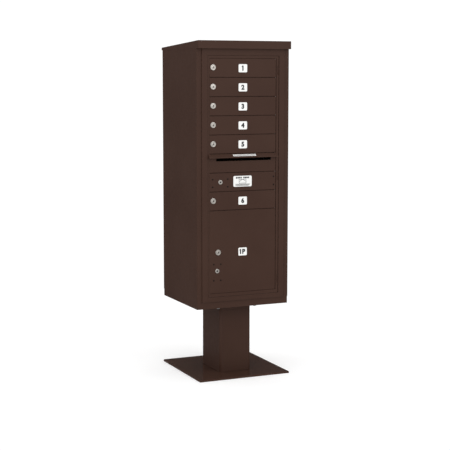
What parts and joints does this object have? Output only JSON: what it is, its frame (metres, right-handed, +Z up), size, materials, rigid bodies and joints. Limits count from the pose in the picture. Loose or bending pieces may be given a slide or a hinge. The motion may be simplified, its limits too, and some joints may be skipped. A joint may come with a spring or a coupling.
{
  "type": "cluster mailbox unit",
  "caption": "Dark bronze aluminium pedestal mailbox with small tenant doors, an outgoing mail slot under a hood and a tall parcel locker.",
  "frame": {"origin": "centre of the base plate's underside, which is also the centre of the anchor hole pattern", "axes": "+Z up; -Y towards the front, where the doors are; +X to the right seen from the front"},
  "size_m": [0.4784, 0.4856, 1.6036],
  "materials": {
    "bronze_paint": "satin",
    "bare_aluminium": "mill finish",
    "lock_nickel": "bright nickel",
    "steel": "zinc plated",
    "plate_white": "satin",
    "dark_stud": "dark"
  },
  "bodies": {
    "cabinet": {"base_plate": "bronze_paint", "pedestal_post": "bronze_paint", "pedestal_flange": "bronze_paint", "pedestal_fasteners": "steel", "bottom_tray": "bronze_paint", "floor_panel": "bare_aluminium", "side_panel_left": "bronze_paint", "side_panel_right": "bronze_paint", "back_panel": "bronze_paint", "top_panel": "bare_aluminium", "top_cap": "bronze_paint", "front_trim": "bronze_paint", "cabinet_screws": "steel", "compartment_walls": "bare_aluminium", "compartment_shelves": "bare_aluminium", "master_hinge_leaf": "bronze_paint", "master_hinge_rod": "steel", "strike_plate": "bronze_paint"},
    "master_door": {"master_frame": "bronze_paint", "master_rails": "bronze_paint", "tenant_hinge_rod": "steel", "slot_panel": "bronze_paint", "slot_hood": "bronze_paint", "lock_panel": "bronze_paint", "lock_panel_studs": "dark_stud", "master_lock_case": "steel"},
    "master_plug": {"master_lock_plug": "lock_nickel"},
    "master_bolt": {"master_lock_bolt": "steel"},
    "door_1": {"tenant_door_1": "bronze_paint", "tenant_lock_1": "lock_nickel", "number_plate_1": "plate_white"},
    "cam_1": {"tenant_cam_1": "lock_nickel"},
    "door_2": {"tenant_door_2": "bronze_paint", "tenant_lock_2": "lock_nickel", "number_plate_2": "plate_white"},
    "cam_2": {"tenant_cam_2": "lock_nickel"},
    "door_3": {"tenant_door_3": "bronze_paint", "tenant_lock_3": "lock_nickel", "number_plate_3": "plate_white"},
    "cam_3": {"tenant_cam_3": "lock_nickel"},
    "door_4": {"tenant_door_4": "bronze_paint", "tenant_lock_4": "lock_nickel", "number_plate_4": "plate_white"},
    "cam_4": {"tenant_cam_4": "lock_nickel"},
    "door_5": {"tenant_door_5": "bronze_paint", "tenant_lock_5": "lock_nickel", "number_plate_5": "plate_white"},
    "cam_5": {"tenant_cam_5": "lock_nickel"},
    "door_6": {"tenant_door_6": "bronze_paint", "tenant_lock_6": "lock_nickel", "number_plate_6": "plate_white"},
    "cam_6": {"tenant_cam_6": "lock_nickel"},
    "parcel": {"parcel_door": "bronze_paint", "parcel_lock": "lock_nickel", "parcel_number_plate": "plate_white", "carrier_lock_studs": "dark_stud", "carrier_lock_case": "steel"},
    "parcel_lock_cam": {"parcel_cam": "lock_nickel"},
    "carrier_plug": {"carrier_lock_plug": "lock_nickel"},
    "carrier_bolt": {"carrier_lock_bolt": "steel"}
  },
  "joints": [
    {"name": "master_door_hinge", "type": "hinge", "parent": "cabinet", "child": "master_door", "pos_m": [0.1793, -0.215, 0.96715], "axis": [0, 0, 1], "range_deg": [0, 90]},
    {"name": "door_1_hinge", "type": "hinge", "parent": "master_door", "child": "door_1", "pos_m": [0.1652, -0.216, 1.47795], "axis": [0, 0, 1], "range_deg": [0, 100]},
    {"name": "lock_1_turn", "type": "hinge", "parent": "door_1", "child": "cam_1", "pos_m": [-0.1575, -0.219, 1.4799], "axis": [0, 1, 0], "range_deg": [0, 90]},
    {"name": "door_2_hinge", "type": "hinge", "parent": "master_door", "child": "door_2", "pos_m": [0.1652, -0.216, 1.38905], "axis": [0, 0, 1], "range_deg": [0, 100]},
    {"name": "lock_2_turn", "type": "hinge", "parent": "door_2", "child": "cam_2", "pos_m": [-0.1575, -0.219, 1.391], "axis": [0, 1, 0], "range_deg": [0, 90]},
    {"name": "door_3_hinge", "type": "hinge", "parent": "master_door", "child": "door_3", "pos_m": [0.1652, -0.216, 1.30015], "axis": [0, 0, 1], "range_deg": [0, 100]},
    {"name": "lock_3_turn", "type": "hinge", "parent": "door_3", "child": "cam_3", "pos_m": [-0.1575, -0.219, 1.3021], "axis": [0, 1, 0], "range_deg": [0, 90]},
    {"name": "door_4_hinge", "type": "hinge", "parent": "master_door", "child": "door_4", "pos_m": [0.1652, -0.216, 1.21125], "axis": [0, 0, 1], "range_deg": [0, 100]},
    {"name": "lock_4_turn", "type": "hinge", "parent": "door_4", "child": "cam_4", "pos_m": [-0.1575, -0.219, 1.2132], "axis": [0, 1, 0], "range_deg": [0, 90]},
    {"name": "door_5_hinge", "type": "hinge", "parent": "master_door", "child": "door_5", "pos_m": [0.1652, -0.216, 1.12235], "axis": [0, 0, 1], "range_deg": [0, 100]},
    {"name": "lock_5_turn", "type": "hinge", "parent": "door_5", "child": "cam_5", "pos_m": [-0.1575, -0.219, 1.1243], "axis": [0, 1, 0], "range_deg": [0, 90]},
    {"name": "door_6_hinge", "type": "hinge", "parent": "master_door", "child": "door_6", "pos_m": [0.1652, -0.216, 0.85565], "axis": [0, 0, 1], "range_deg": [0, 100]},
    {"name": "lock_6_turn", "type": "hinge", "parent": "door_6", "child": "cam_6", "pos_m": [-0.1575, -0.219, 0.8576], "axis": [0, 1, 0], "range_deg": [0, 90]},
    {"name": "parcel_door_hinge", "type": "hinge", "parent": "master_door", "child": "parcel", "pos_m": [0.1652, -0.216, 0.6137], "axis": [0, 0, 1], "range_deg": [0, 100]},
    {"name": "parcel_lock_turn", "type": "hinge", "parent": "parcel", "child": "parcel_lock_cam", "pos_m": [-0.1327, -0.219, 0.6128], "axis": [0, 1, 0], "range_deg": [0, 90]},
    {"name": "master_plug_turn", "type": "hinge", "parent": "master_door", "child": "master_plug", "pos_m": [-0.1205, -0.219, 0.9449], "axis": [0, 1, 0], "range_deg": [0, 90]},
    {"name": "master_bolt_slide", "type": "slide", "parent": "master_door", "child": "master_bolt", "axis": [-1, 0, 0], "range_m": [0, 0.02]},
    {"name": "carrier_plug_turn", "type": "hinge", "parent": "parcel", "child": "carrier_plug", "pos_m": [-0.137, -0.219, 0.5239], "axis": [0, 1, 0], "range_deg": [0, 90]},
    {"name": "carrier_bolt_slide", "type": "slide", "parent": "parcel", "child": "carrier_bolt", "axis": [-1, 0, 0], "range_m": [0, 0.014]}
  ],
  "couplings": [
    {"joint": "master_bolt_slide", "follows": "master_plug_turn", "m_per_rad": 0.012732},
    {"joint": "carrier_bolt_slide", "follows": "carrier_plug_turn", "m_per_rad": 0.0089127}
  ]
}
